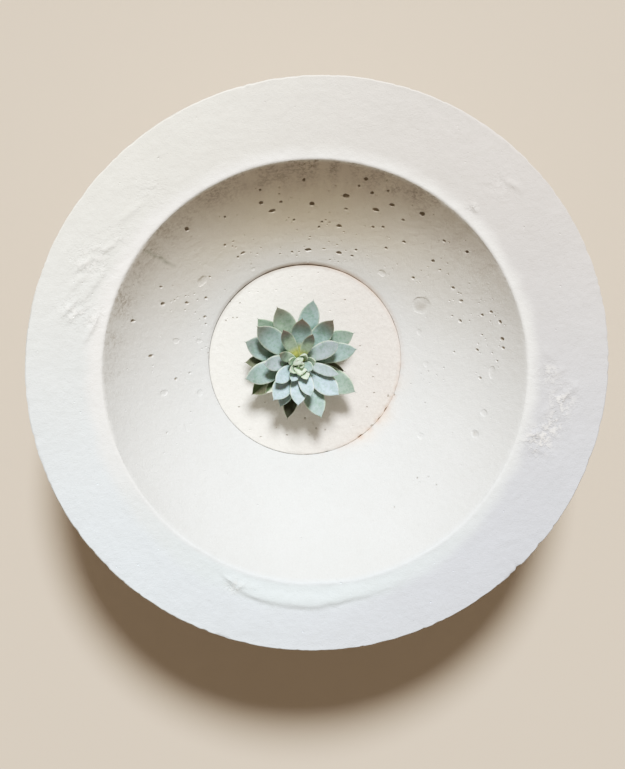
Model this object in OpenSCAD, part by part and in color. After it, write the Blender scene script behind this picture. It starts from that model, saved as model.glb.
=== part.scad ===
// Concrete bowl planter: a heavy cast bowl whose hollow is off centre, a cream disc that
// closes the middle of the hollow, and one potted rosette succulent that grows through it.
// +Z is up, the origin is on the floor below the middle of the bowl's outer rim.

/* [Bowl] */
// Outside diameter across the rim
bowl_d = 420; // [400:5:460]
// Radius of the flat underside
base_r = 105; // [95:1:125]
// Thickness of the concrete under the pot's pocket
base_t = 20; // [15:1:30]
// Bend of the outer wall's curve, in degrees either side of its chord
outer_bend = 22; // [12:1:24]
// Height of the upright band round the rim's outer edge
edge_h = 18; // [10:1:24]
// Drop of the rim from its flat to its outer edge
rim_fall = 1; // [0.5:0.5:3]
// Width of the sloping part of the rim
rim_slope_w = 38; // [20:1:40]

/* [Hollow] */
// Radius of the hollow where its wall meets the rounded lip
hollow_r = 152; // [145:1:154]
// Depth from the rim's flat down to the disc
hollow_depth = 70; // [64:1:80]
// Slope of the wall where it meets the lip, in degrees
wall_slope = 55; // [50:1:60]
// Radius of the rounded lip
lip_r = 5; // [3:0.5:8]
// How far the hollow's axis lies off the rim's, sideways
core_x = -4.7; // [-7:0.1:7]
// How far the hollow's axis lies off the rim's, front to back
core_y = -2.8; // [-7:0.1:7]
// Radius of the drain hole
drain_r = 8; // [5:0.5:12]
// Radius of the pocket that the pot hangs in
pocket_r = 40; // [34:1:50]

/* [Centre disc] */
// Radius of the disc
disc_r = 73.6; // [66:0.2:78]
// Thickness of the disc
disc_t = 14; // [10:1:20]
// Gap of the seam round the disc
seam_gap = 0.8; // [0.4:0.1:1.5]
// Chamfer on the disc's top edge
disc_chamfer = 0.6; // [0.3:0.1:1.5]

/* [Pot] */
// How far the pot's axis lies off the disc's, sideways
pot_x = -6.3; // [-8:0.1:8]
// How far the pot's axis lies off the disc's, front to back
pot_y = 2; // [-8:0.1:8]
// Height of the pot, with its lip
pot_h = 48; // [44:1:56]
// Outside radius of the pot under its lip
pot_top_r = 23; // [20:0.5:27]
// Outside radius of the pot's foot
pot_foot_r = 17.5; // [14:0.5:20]
// How far the lip stands out past the pot's wall
pot_lip_w = 3.5; // [2.5:0.5:5]
// Thickness of the lip
pot_lip_t = 2.5; // [1.5:0.5:4]
// Thickness of the pot's wall and floor
pot_wall = 1.2; // [1:0.1:2]
// Radius of the holes in the pot's floor
pot_hole_r = 3; // [2:0.5:4]
// Number of holes in the pot's floor
pot_holes = 4; // [3:1:6]
// Clearance between the pot and the disc
pot_clear = 0.8; // [0.4:0.1:1.5]
// Depth of the soil's surface below the lip
soil_drop = 3.5; // [2.5:0.5:8]
// Clearance between the soil and the pot
soil_clear = 0.15; // [0.1:0.05:0.5]

/* [Screen and pads] */
// Radius of the screen over the drain hole
screen_r = 20; // [16:1:30]
// Thickness of the screen
screen_t = 1.5; // [1:0.5:3]
// Radius of the screen's holes
screen_hole_r = 2; // [1:0.5:2.5]
// Air between the screen and the pot's foot
pot_air = 1.5; // [0.5:0.5:6]
// Radius of the pads under the bowl
pad_r = 15; // [10:1:20]
// Thickness of the pads
pad_t = 4; // [3:0.5:8]
// Distance of the pads from the middle of the bowl
pad_ring_r = 80; // [60:1:84]

/* [Plant] */
// How far the stem stands off the pot's axis, sideways
stem_x = -1.7; // [-8:0.1:8]
// How far the stem stands off the pot's axis, front to back
stem_y = 2.4; // [-8:0.1:8]
// Radius of the stem at the soil
stem_r = 6; // [5:0.5:8]
// Radius of the stem at the growing point
stem_tip_r = 2.2; // [1.8:0.2:3]
// Depth of the stem in the soil
root_depth = 20; // [10:1:30]
// Height of the lowest leaf's middle above the disc
first_leaf_z = 12; // [8:0.5:16]
// Climb of the stem from one leaf to the next
leaf_pitch = 0.7; // [0.6:0.05:1]
// Number of young leaves that follow the golden angle inside the grown ones
young_leaves = 8; // [4:1:8]
// Reach of the oldest young leaf from the stem's axis
young_reach = 15; // [12:0.5:18]
// Rise of the lowest leaf, in degrees
leaf_rise_low = 8; // [6:1:12]
// Rise of the innermost leaf, in degrees
leaf_rise_high = 58; // [50:1:64]
// Upward curl of a leaf from its neck to its tip, in degrees
leaf_curl = 14; // [6:1:18]
// Height of the closed bud at the growing point
bud_h = 7; // [4:0.5:10]
// Radius of the bud
bud_r = 1.7; // [1:0.1:1.8]

/* [Hidden] */
// Grown leaves from the lowest up: direction from +X in degrees, reach and width
grown = [
    [344, 37, 9], [217, 45, 15], [259, 47, 12], [182, 41, 12], [134, 45, 15], [26, 47, 16],
    [330, 50, 18], [77, 48, 16], [224, 36, 9], [159, 44, 18], [247, 38, 12], [291, 46, 16],
    [112, 46, 17], [52, 41, 15], [195, 43, 17], [14, 44, 15], [320, 38, 16], [138, 44, 17],
    [233, 34, 15], [88, 35, 16], [344, 30, 11], [266, 31, 13], [31, 33, 16], [176, 28, 12],
    [116, 31, 11], [213, 23, 11], [287, 24, 11], [71, 26, 10], [150, 19, 8], [240, 14, 8]
];
golden_angle = 137.5;
leaf_count = len(grown) + young_leaves;

// Heights, from the floor up
underside_z = pad_t;
pocket_floor_z = underside_z + base_t;
pot_foot_z = pocket_floor_z + screen_t + pot_air;
disc_top_z = pot_foot_z + pot_h;
disc_seat_z = disc_top_z - disc_t;
bowl_h = disc_top_z + hollow_depth;
soil_z = disc_top_z - soil_drop;
bowl_r = bowl_d / 2;
recess_r = disc_r + seam_gap;
pot_lip_r = pot_top_r + pot_lip_w;
stem_top_z = disc_top_z + first_leaf_z + leaf_pitch * leaf_count;

// Colours
concrete_colour = [0.87, 0.87, 0.86];
disc_colour = [0.93, 0.91, 0.87];
pot_colour = [0.25, 0.2, 0.17];
soil_colour = [0.2, 0.15, 0.11];
screen_colour = [0.35, 0.36, 0.36];
pad_colour = [0.45, 0.36, 0.27];
stem_colour = [0.55, 0.6, 0.45];
old_leaf_colour = [0.5, 0.6, 0.58];
young_leaf_colour = [0.68, 0.76, 0.66];

// Shape of a leaf: where it is widest, and its neck's width and thickness
leaf_widest = 0.6;
leaf_neck = 0.28;
leaf_neck_t = 0.6;
leaf_swell = 1;
leaf_grip = 0.6;
leaf_cup = 0.07;
leaf_rings = 8;
leaf_sides = 10;
leaf_last_ring = 0.94;

function two_digits(i) = str(i < 10 ? "0" : "", i);
function leaf_name(i) = str("leaf_", two_digits(i + 1));
$fn = 96;

module at_core(z) { translate([core_x, core_y, z]) children(); }
module at_pot(z) { at_core(z) translate([pot_x, pot_y, 0]) children(); }
module at_stem(z) { at_pot(z) translate([stem_x, stem_y, 0]) children(); }

// Points on the arc from p to q whose direction turns left by 2 * half degrees
function left_arc(p, q, half, steps) =
    let (
        along = q - p,
        chord = norm(along),
        r = chord / (2 * sin(half)),
        centre = (p + q) / 2 + [-along.y, along.x] / chord * r * cos(half),
        start = atan2(p.y - centre.y, p.x - centre.x)
    )
    [for (k = [0 : steps]) centre + r * [cos(start + 2 * half * k / steps),
                                         sin(start + 2 * half * k / steps)]];

// Cross-section of the whole casting before anything is cut from it
function casting_outline() =
    let (
        edge_top = bowl_h - rim_fall,
        slope_start = bowl_r - rim_slope_w,
        slope_half = atan2(rim_fall, rim_slope_w)
    )
    concat(
        [[0, underside_z]],
        left_arc([base_r, underside_z], [bowl_r, edge_top - edge_h], outer_bend, 20),
        left_arc([bowl_r, edge_top], [slope_start, bowl_h], slope_half, 6),
        [[0, bowl_h]]
    );

// Cross-section of what the hollow, the disc's recess and the pot's pocket take away
function hollow_outline() =
    let (
        wall_start = [recess_r, disc_top_z],
        lip_centre = [hollow_r + lip_r * sin(wall_slope), bowl_h - lip_r],
        wall_end = lip_centre + lip_r * [-sin(wall_slope), cos(wall_slope)],
        chord_slope = atan2(wall_end.y - wall_start.y, wall_end.x - wall_start.x),
        exit_slope = 8,
        lip_end = lip_centre + lip_r * [-sin(exit_slope), cos(exit_slope)],
        exit_w = 3,
        above = lip_end + exit_w * [1, tan(exit_slope)]
    )
    concat(
        [[0, pocket_floor_z], [pocket_r, pocket_floor_z], [pocket_r, disc_seat_z],
         [recess_r, disc_seat_z]],
        left_arc(wall_start, wall_end, wall_slope - chord_slope, 18),
        [for (k = [1 : 7]) let (a = wall_slope + (exit_slope - wall_slope) * k / 7)
            lip_centre + lip_r * [-sin(a), cos(a)]],
        [above, [0, above.y]]
    );

module bowl() {
    color(concrete_colour)
    difference() {
        rotate_extrude() polygon(casting_outline());
        at_core(0) rotate_extrude() polygon(hollow_outline());
        at_core(underside_z - 1) cylinder(r = drain_r, h = base_t + 2);
    }
}

module centre_disc() {
    color(disc_colour)
    difference() {
        at_core(disc_seat_z)
        rotate_extrude()
        polygon([
            [0, 0], [disc_r, 0], [disc_r, disc_t - disc_chamfer],
            [disc_r - disc_chamfer, disc_t], [0, disc_t]
        ]);
        at_pot(disc_seat_z - 1) cylinder(r = pot_top_r + pot_clear, h = disc_t + 2);
        at_pot(disc_top_z - pot_lip_t) cylinder(r = pot_lip_r + pot_clear, h = pot_lip_t + 1);
    }
}

// Radius of the pot's inside at height z above its foot
function pot_inside_r(z) = pot_foot_r - pot_wall + (pot_top_r - pot_foot_r) * z / pot_h;

module plant_pot() {
    wall_h = pot_h - pot_lip_t;
    hole_ring_r = pot_foot_r * 0.6;
    color(pot_colour)
    at_pot(pot_foot_z)
    difference() {
        rotate_extrude()
        polygon([
            [0, 0], [pot_foot_r, 0], [pot_top_r, wall_h], [pot_lip_r, wall_h],
            [pot_lip_r, pot_h], [pot_inside_r(pot_h), pot_h],
            [pot_inside_r(pot_wall), pot_wall], [0, pot_wall]
        ]);
        for (k = [0 : pot_holes - 1])
            rotate([0, 0, 360 * k / pot_holes])
            translate([hole_ring_r, 0, -1])
            cylinder(r = pot_hole_r, h = pot_wall + 2);
    }
}

module potting_mix() {
    bottom_z = pot_wall;
    top_z = pot_h - soil_drop;
    color(soil_colour)
    difference() {
        at_pot(pot_foot_z)
        rotate_extrude()
        polygon([
            [0, bottom_z], [pot_inside_r(bottom_z) - soil_clear, bottom_z],
            [pot_inside_r(top_z) - soil_clear, top_z], [0, top_z]
        ]);
        at_stem(soil_z - root_depth) cylinder(r = stem_r, h = root_depth + 1);
    }
}

module stem() {
    color(stem_colour)
    at_stem(soil_z - root_depth)
    rotate_extrude()
    polygon([
        [0, 0], [stem_r, 0], [stem_r, root_depth + soil_drop],
        [stem_tip_r, stem_top_z - soil_z + root_depth], [0, stem_top_z - soil_z + root_depth]
    ]);
}

// Closed bud: a slim teardrop on the end of the stem
module bud() {
    color(young_leaf_colour)
    at_stem(stem_top_z)
    rotate_extrude()
    polygon([[0, 0], for (k = [0 : 8]) let (t = k / 8) [bud_r * (1 - pow(t, 1.8)), bud_h * t]]);
}

module drain_screen() {
    hole_ring_r = 3 * screen_hole_r;
    color(screen_colour)
    at_core(pocket_floor_z)
    difference() {
        cylinder(r = screen_r, h = screen_t);
        translate([0, 0, -1]) cylinder(r = screen_hole_r, h = screen_t + 2);
        for (k = [0 : 5])
            rotate([0, 0, 60 * k])
            translate([hole_ring_r, 0, -1])
            cylinder(r = screen_hole_r, h = screen_t + 2);
    }
}

module base_pad(k) {
    color(pad_colour)
    rotate([0, 0, 45 + 90 * (k - 1)])
    translate([pad_ring_r, 0, 0])
    cylinder(r = pad_r, h = pad_t);
}

// A leaf's direction, reach and width
function leaf_facts(i) =
    i < len(grown) ? grown[i]
    : let (k = i - len(grown), reach = young_reach - k * 1.2)
      [grown[len(grown) - 1][0] + golden_angle * (k + 1), reach, 2.6 + reach * 0.38];

// Share of its full width that a leaf has at the share t of its length
function leaf_outline(t) =
    t < leaf_widest ? leaf_neck + (1 - leaf_neck) * pow(sin(90 * t / leaf_widest), leaf_swell)
                    : pow(1 - pow((t - leaf_widest) / (1 - leaf_widest), 2.6), 0.85);

// Share of its full thickness that a leaf has at the share t of its length
function leaf_body(t) =
    t < leaf_widest ? leaf_neck_t + (1 - leaf_neck_t) * sin(90 * t / leaf_widest)
                    : pow(1 - pow((t - leaf_widest) / (1 - leaf_widest), 2), 0.7);

// Radius of the stem at a height above the disc
function stem_r_at(z) =
    stem_r + (stem_tip_r - stem_r) * max(0, z) / (stem_top_z - disc_top_z);

module leaf(i) {
    facts = leaf_facts(i);
    width = facts[2];
    thickness = 1 + 0.16 * width;
    base_z = first_leaf_z + leaf_pitch * i;
    start = stem_r_at(base_z) - leaf_grip;
    age = i / (leaf_count - 1);
    rise = leaf_rise_low + (leaf_rise_high - leaf_rise_low) * pow(age, 1.6) - leaf_curl / 2;
    // The middle line is an arc, and its radius makes the tip reach as far as it should
    bend_r = (facts[1] - start) / (sin(rise + leaf_curl) - sin(rise));

    function middle(t) = [start + bend_r * (sin(rise + leaf_curl * t) - sin(rise)),
                          bend_r * (cos(rise) - cos(rise + leaf_curl * t))];
    function ring(t) =
        let (m = middle(t), a0 = rise + leaf_curl * t, w = width / 2 * leaf_outline(t),
             d = thickness * leaf_body(t))
        [for (k = [0 : leaf_sides - 1])
            let (a = 360 * k / leaf_sides, side = cos(a),
                 up = (sin(a) > 0 ? 0.4 : 0.6) * d * sin(a) + leaf_cup * width * side * side
                      * leaf_outline(t))
            [m.x - up * sin(a0), w * side, m.y + up * cos(a0)]];
    tip = middle(1);
    points = concat(
        [for (k = [0 : leaf_rings - 1]) each ring(leaf_last_ring * k / (leaf_rings - 1))],
        [[tip.x, 0, tip.y]]
    );
    tip_index = leaf_rings * leaf_sides;
    function at(k, j) = k * leaf_sides + j % leaf_sides;
    faces = concat(
        [[for (j = [0 : leaf_sides - 1]) j]],
        [for (k = [0 : leaf_rings - 2]) for (j = [0 : leaf_sides - 1])
            each [[at(k, j), at(k + 1, j), at(k + 1, j + 1)], [at(k, j), at(k + 1, j + 1), at(k, j + 1)]]],
        [for (j = [0 : leaf_sides - 1]) [at(leaf_rings - 1, j), tip_index, at(leaf_rings - 1, j + 1)]]
    );
    color(old_leaf_colour + (young_leaf_colour - old_leaf_colour) * age)
    at_stem(disc_top_z + base_z)
    rotate([0, 0, facts[0]])
    polyhedron(points, faces);
}

bowl();
centre_disc();
plant_pot();
potting_mix();
drain_screen();
stem();
bud();
for (k = [1 : 4])
    base_pad(k);
for (i = [0 : leaf_count - 1])
    leaf(i);
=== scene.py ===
"""Dresses the concrete bowl planter: cast and trowelled concrete, the potted rosette, and a plain studio.

Lengths are in metres, and MM makes them of millimetres. Sizes come from the frame where a box gives them.
Places read off the photograph are pixels of its 625 x 769 frame, and end in _PX.
"""

import random
from math import atan2, copysign, cos, degrees, exp, hypot, pi, radians, sin, sqrt

import bmesh
import bpy
import numpy as np
from mathutils import Matrix, Vector, noise
from mathutils.bvhtree import BVHTree


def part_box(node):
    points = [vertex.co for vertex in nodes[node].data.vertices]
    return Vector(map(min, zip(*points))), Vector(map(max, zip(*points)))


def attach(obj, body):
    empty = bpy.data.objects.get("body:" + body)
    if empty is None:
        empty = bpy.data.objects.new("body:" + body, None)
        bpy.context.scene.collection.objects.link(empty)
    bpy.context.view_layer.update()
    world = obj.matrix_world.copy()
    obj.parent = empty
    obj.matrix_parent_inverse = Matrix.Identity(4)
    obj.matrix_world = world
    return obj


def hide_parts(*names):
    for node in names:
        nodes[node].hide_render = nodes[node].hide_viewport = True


MM = 0.001

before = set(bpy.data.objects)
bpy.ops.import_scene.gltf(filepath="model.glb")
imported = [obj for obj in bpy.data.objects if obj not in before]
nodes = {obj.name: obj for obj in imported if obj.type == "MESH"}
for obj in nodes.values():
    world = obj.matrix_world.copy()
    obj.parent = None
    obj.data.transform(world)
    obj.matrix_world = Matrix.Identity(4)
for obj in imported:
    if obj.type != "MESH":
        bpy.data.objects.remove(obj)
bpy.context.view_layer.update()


# ---- places and sizes from the frame


def centre_of(node):
    """The middle of a node's box, in plan."""
    low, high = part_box(node)
    return (low.x + high.x) / 2, (low.y + high.y) / 2


bowl_low, bowl_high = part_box("bowl")
disc_low, disc_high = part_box("centre_disc")
pot_low, pot_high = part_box("plant_pot")
soil_low, soil_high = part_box("potting_mix")
stem_low, stem_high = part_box("stem")
bud_low, bud_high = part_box("bud")

RIM_R = bowl_high.x
RIM_Z = bowl_high.z
UNDERSIDE_Z = bowl_low.z
CORE = centre_of("centre_disc")
DISC_R = (disc_high.x - disc_low.x) / 2
DISC_TOP = disc_high.z
DISC_SEAT = disc_low.z
POT = centre_of("plant_pot")
POT_LIP_R = (pot_high.x - pot_low.x) / 2
SOIL_R = (soil_high.x - soil_low.x) / 2
STEM = centre_of("stem")
STEM_R = (stem_high.x - stem_low.x) / 2

# Sizes that no box gives; the slopes and bends are in degrees
SEAM_GAP = 0.8 * MM
SEAM_FOOT = DISC_TOP - 3 * MM
HOLLOW_R = 153 * MM
WALL_SLOPE = 55
LIP_R = 3 * MM
LIP_EXIT = 8
RIM_FALL = 1 * MM
RIM_SLOPE_W = 38 * MM
EDGE_H = 18 * MM
EDGE_ROUND = 0.8 * MM
BASE_R = 105 * MM
OUTER_BEND = 22
DRAIN_R = 8 * MM
POCKET_R = 40 * MM
POCKET_FLOOR = UNDERSIDE_Z + 20 * MM
POT_CLEAR = 0.8 * MM
POT_LIP_T = 2.5 * MM
POT_HOLE_R = 23.8 * MM
POT_HOLE_STEP = 5 * MM
DISC_CHAMFER = 0.6 * MM
DISC_EDGE_R = DISC_R - 0.35 * MM
RECESS_R = DISC_EDGE_R + SEAM_GAP

# How the handmade casting strays from its axis: the disc's seam, the lip, and how oval the lip is
SEAM_AT = (CORE[0] - 1.2 * MM, CORE[1] - 0.5 * MM)
LIP_AT = (CORE[0] + 1.7 * MM, CORE[1] + 0.9 * MM)
LIP_OVAL = 1.5 * MM
OVAL_TOWARDS = 120

# How many points the rings of the castings have, and how many rings the disc's top
AROUND = 600
AROUND_DISC = 240
DISC_RINGS = 16


# ---- camera, which the photograph fixes

CAMERA_AT = Vector((-0.0984, 0.2064, 1.1931))
CAMERA_PITCH = -11.48
CAMERA_ROLL = -5.0
PHOTO_W, PHOTO_H = 625, 769
FOCAL_PX = 1500
SENSOR = 36.0
CLIP_END = 120
# It looks almost straight down, with the top of the picture towards +Y
CAMERA_TURN = Matrix.Rotation(radians(CAMERA_ROLL), 3, "Y") @ Matrix.Rotation(radians(CAMERA_PITCH), 3, "X")


def pixel_ray(x, y):
    """The direction in which the camera sees a pixel of the photograph."""
    seen = Vector(((x - PHOTO_W / 2) / FOCAL_PX, (PHOTO_H / 2 - y) / FOCAL_PX, -1))
    return (CAMERA_TURN @ seen).normalized()


def plan_point(x, y, z=RIM_Z):
    """Where a pixel of the photograph falls on the level plane at height z."""
    ray = pixel_ray(x, y)
    return CAMERA_AT + ray * ((z - CAMERA_AT.z) / ray.z)


def make_camera():
    data = bpy.data.cameras.new("camera")
    data.lens = FOCAL_PX / PHOTO_H * SENSOR
    data.sensor_width = SENSOR
    data.clip_end = CLIP_END
    camera = add_object("camera", data)
    camera.matrix_world = Matrix.Translation(CAMERA_AT) @ CAMERA_TURN.to_4x4()
    bpy.context.scene.camera = camera


# ---- small tools


def clamp(x, high=1.0):
    return min(max(x, 0.0), high)


def ease(x, low, high):
    """0 below low, 1 above high, and smooth between."""
    t = clamp((x - low) / (high - low))
    return t * t * (3 - 2 * t)


def hump(x, half_width):
    """1 at 0, falling smoothly to nothing a few half widths away."""
    return exp(-((x / half_width) ** 2))


def facing(a, towards, half_width):
    """1 in the direction meant, falling smoothly to nothing on both sides, all in degrees."""
    return hump(abs((a - towards + 180) % 360 - 180), half_width)


def waver(u, v, size, seed):
    """Smooth noise, about -1 to 1, with features of that size."""
    return noise.noise(Vector((u / size, v / size, seed)))


def wrinkle(x, y, size, seed):
    """The same at a plan point, with the size in millimetres."""
    return waver(x, y, size * MM, seed)


def srgb(r, g, b):
    """A colour of 0-255 values, as linear light."""
    shares = (r / 255, g / 255, b / 255)
    return tuple(c / 12.92 if c <= 0.04045 else ((c + 0.055) / 1.055) ** 2.4 for c in shares)


def mix(a, b, share):
    return tuple(p + (q - p) * share for p, q in zip(a, b))


def coat(tone, *layers):
    """A tone under layers, each a colour and its share."""
    for colour, share in layers:
        tone = mix(tone, colour, share)
    return tone


def turns(count):
    """Directions evenly round a circle, in radians."""
    return [2 * pi * k / count for k in range(count)]


def point_at(centre, r, a):
    """The plan point at distance r from a centre, in direction a in radians."""
    return centre[0] + r * cos(a), centre[1] + r * sin(a)


def polar(point, centre):
    """A plan point's distance from a centre, and its direction in degrees."""
    dx, dy = point[0] - centre[0], point[1] - centre[1]
    return hypot(dx, dy), degrees(atan2(dy, dx))


def line_distance(x, y, a, b):
    """Distance to a segment, the side of it, and the share of its length."""
    along = b - a
    t = clamp(((x - a.x) * along.x + (y - a.y) * along.y) / along.length_squared)
    dx, dy = x - a.x - along.x * t, y - a.y - along.y * t
    side = 1 if along.x * dy - along.y * dx > 0 else -1
    return hypot(dx, dy), side, t


def arc_circle(p, q, half_turn):
    """Centre and radius of the arc from p to q that turns left by twice half_turn degrees (right if < 0)."""
    p, q, half = Vector(p), Vector(q), radians(half_turn)
    along = q - p
    radius = along.length / (2 * sin(half))
    return (p + q) / 2 + Vector((-along.y, along.x)).normalized() * radius * cos(half), radius


def left_arc(p, q, half_turn, steps):
    """Points after p on that arc."""
    centre, radius = arc_circle(p, q, half_turn)
    p, half = Vector(p), radians(half_turn)
    start = atan2(p.y - centre.y, p.x - centre.x)
    return [point_at(centre, abs(radius), start + 2 * half * k / steps) for k in range(1, steps + 1)]


def straight(p, q, steps):
    """Points after p on the line to q."""
    return [tuple(Vector(p).lerp(Vector(q), k / steps)) for k in range(1, steps + 1)]


def band_faces(a, b, around):
    """Faces between two rings of points that start at the numbers a and b."""
    return [(a + k, a + (k + 1) % around, b + (k + 1) % around, b + k) for k in range(around)]


def closed_rings(rings):
    """All points of some rings, and faces that join each to the next, and the last to the first."""
    count, around = len(rings), len(rings[0])
    faces = [face for i in range(count) for face in band_faces(i * around, (i + 1) % count * around, around)]
    return [p for ring in rings for p in ring], faces


def tube_faces(count, around):
    """Faces of a tube of rings with closed ends."""
    sides = [face for i in range(count - 1) for face in band_faces(i * around, (i + 1) * around, around)]
    end = (count - 1) * around
    return [tuple(range(around))[::-1], *sides, tuple(end + k for k in range(around))]


def add_object(name, data):
    made = bpy.data.objects.new(name, data)
    bpy.context.scene.collection.objects.link(made)
    return made


def mesh_object(name, points, faces, material):
    """A new object with smooth faces."""
    mesh = bpy.data.meshes.new(name)
    mesh.from_pydata([tuple(p) for p in points], [], faces)
    mesh.validate()
    mesh.polygons.foreach_set("use_smooth", [True] * len(mesh.polygons))
    mesh.materials.append(material)
    return add_object(name, mesh)


def object_of(shapes, name):
    """A new object of a bmesh, which is used up."""
    mesh = bpy.data.meshes.new(name)
    shapes.to_mesh(mesh)
    shapes.free()
    return add_object(name, mesh)


def dress(piece, body, slot, *replaced):
    """Gives a piece its body, and hides the nodes that it stands for; slot is not used."""
    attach(piece, body)
    if replaced:
        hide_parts(*replaced)


def store_colours(piece, name, colours):
    """One linear colour for each point of a mesh."""
    layer = piece.data.color_attributes.new(name, "FLOAT_COLOR", "POINT")
    flat = np.ones((len(colours), 4), np.float32)
    flat[:, :3] = np.array(colours, np.float32)
    layer.data.foreach_set("color", flat.ravel())


# ---- finishes


class Finish:
    """A node material, with short calls for its nodes; sizes are in millimetres."""

    def __init__(self, name):
        self.material = bpy.data.materials.new(name)
        self.material.use_nodes = True
        self.tree = self.material.node_tree
        self.shader = self.tree.nodes["Principled BSDF"]
        self.place = self.node("ShaderNodeTexCoord", {})["Object"]

    def put(self, socket, value):
        """Links a node's output to a socket, or sets a plain value on it."""
        if isinstance(value, bpy.types.NodeSocket):
            self.tree.links.new(value, socket)
        elif isinstance(value, tuple) and socket.type == "RGBA":
            socket.default_value = (*value, 1)
        else:
            socket.default_value = value

    def node(self, kind, inputs, **settings):
        """The outputs of a new node with those settings and inputs."""
        made = self.tree.nodes.new(kind)
        for key, value in settings.items():
            setattr(made, key, value)
        for key, value in inputs.items():
            self.put(made.inputs[key], value)
        return made.outputs

    def noise(self, size, detail, rough, stretch=None):
        """Noise with features of that size, optionally stretched along an axis."""
        where = self.place
        if stretch:
            where = self.node("ShaderNodeMapping", {"Scale": stretch, "Vector": where})["Vector"]
        inputs = {"Scale": 1 / (size * MM), "Detail": detail, "Roughness": rough, "Vector": where}
        return self.node("ShaderNodeTexNoise", inputs)["Fac"]

    def cells(self, size):
        """Distance to the nearest of many scattered points, size apart."""
        return self.node("ShaderNodeTexVoronoi", {"Scale": 1 / (size * MM), "Vector": self.place})["Distance"]

    def ramp(self, value, low, high, out_low=0.0, out_high=1.0):
        """value's stretch from low to high, as out_low to out_high."""
        inputs = {"From Min": low, "From Max": high, "To Min": out_low, "To Max": out_high, "Value": value}
        return self.node("ShaderNodeMapRange", inputs, interpolation_type="SMOOTHSTEP")["Result"]

    def blend(self, share, a, b, kind="MIX"):
        """Colour a turning to b by a share."""
        inputs = {"Factor": share, "A": a, "B": b}
        return self.node("ShaderNodeMix", inputs, data_type="RGBA", blend_type=kind)["Result"]

    def stain(self, share, colour, tint):
        """A colour multiplied by a tint, by a share."""
        return self.blend(share, colour, self.blend(1.0, colour, tint, "MULTIPLY"))

    def sum(self, a, b, share):
        """a plus a share of b."""
        return self.node("ShaderNodeMath", {0: b, 1: share, 2: a}, operation="MULTIPLY_ADD")[0]

    def product(self, a, b):
        return self.node("ShaderNodeMath", {0: a, 1: b}, operation="MULTIPLY")[0]

    def attribute(self, name):
        return self.node("ShaderNodeAttribute", {}, attribute_name=name)["Color"]

    def bump(self, height, depth):
        inputs = {"Strength": 1.0, "Distance": depth * MM, "Height": height}
        self.put(self.shader.inputs["Normal"], self.node("ShaderNodeBump", inputs)["Normal"])

    def surface(self, colour, roughness, **plain):
        self.put(self.shader.inputs["Base Color"], colour)
        self.put(self.shader.inputs["Roughness"], roughness)
        for key, value in plain.items():
            self.put(self.shader.inputs[key.replace("_", " ")], value)
        return self.material


def concrete_finish(name, depth):
    """Concrete: tone, torn places and stains are painted on the mesh, sand and pinholes come on top."""
    f = Finish(name)
    colour = f.attribute("tone")
    wear = f.node("ShaderNodeSeparateColor", {"Color": f.attribute("wear")})
    sand = f.noise(1.1, 3, 0.7)
    grit = f.cells(3.2)
    for cloud, low, high, tint in (
        (f.noise(45, 5, 0.6), 0.35, 0.7, (0.92, 0.92, 0.91)),
        (f.noise(9, 4, 0.65), 0.4, 0.75, (0.93, 0.92, 0.9)),
        (sand, 0.4, 0.75, (0.86, 0.85, 0.83)),
    ):
        colour = f.stain(f.ramp(cloud, low, high, 0.0, 0.3), colour, tint)
    # Pinholes are painted darker: dirt in them, and painted shade in the dents
    colour = f.blend(f.ramp(grit, 0.0, 0.1, 0.28, 0.0), colour, srgb(120, 112, 100))
    grime = f.product(wear["Green"], f.ramp(f.noise(2.6, 6, 0.75), 0.42, 0.62))
    colour = f.stain(grime, colour, (0.42, 0.37, 0.31))
    flakes = f.product(wear["Red"], f.ramp(f.noise(4.2, 5, 0.66), 0.4, 0.6))
    colour = f.blend(f.ramp(flakes, 0.1, 0.9, 0.0, 0.8), colour, srgb(248, 248, 245))
    height = f.sum(f.noise(0.9, 4, 0.65), f.noise(5, 3, 0.5), 1.4)
    height = f.sum(height, f.ramp(grit, 0.0, 0.12, -0.5, 0.0), 1.0)
    f.bump(f.sum(height, flakes, 1.8), depth)
    return f.surface(colour, f.ramp(sand, 0.3, 0.7, 0.82, 0.95), Specular_IOR_Level=0.3)


def leaf_finish():
    """A waxy leaf: its tone is painted on the mesh, and the bloom is mottled and rubbed in places."""
    f = Finish("leaf_skin")
    mottle = f.noise(2.4, 5, 0.65)
    rubbed = f.noise(5, 5, 0.75)
    colour = f.stain(f.ramp(mottle, 0.42, 0.66, 0.0, 0.75), f.attribute("tone"), (0.66, 0.76, 0.66))
    colour = f.stain(f.ramp(rubbed, 0.52, 0.64, 0.0, 0.6), colour, (0.7, 0.8, 0.66))
    colour = f.blend(f.ramp(f.cells(1.6), 0.0, 0.16, 0.5, 0.0), colour, srgb(104, 108, 84))
    f.bump(f.sum(mottle, f.noise(0.6, 2, 0.5), 0.4), 0.14)
    return f.surface(
        colour,
        f.ramp(mottle, 0.3, 0.7, 0.46, 0.62),
        Subsurface_Weight=0.15,
        Subsurface_Radius=(0.0012, 0.0022, 0.0012),
        Subsurface_Scale=1.0,
        Sheen_Weight=0.1,
        Sheen_Roughness=0.5,
        Specular_IOR_Level=0.35,
    )


def grain_finish(name, grain, span, dark, light, rough, depth, relief=None, **plain):
    """A skin of one grain (size, detail, roughness, stretch), whose span turns dark to light.

    rough is one roughness or a range, and relief a function for a height other than the grain.
    """
    f = Finish(name)
    grain = f.noise(*grain)
    f.bump(relief(f, grain) if relief else grain, depth)
    if isinstance(rough, tuple):
        rough = f.ramp(grain, 0.3, 0.7, *rough)
    return f.surface(f.blend(f.ramp(grain, *span), srgb(*dark), srgb(*light)), rough, **plain)


# ---- the bowl's relief

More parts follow.
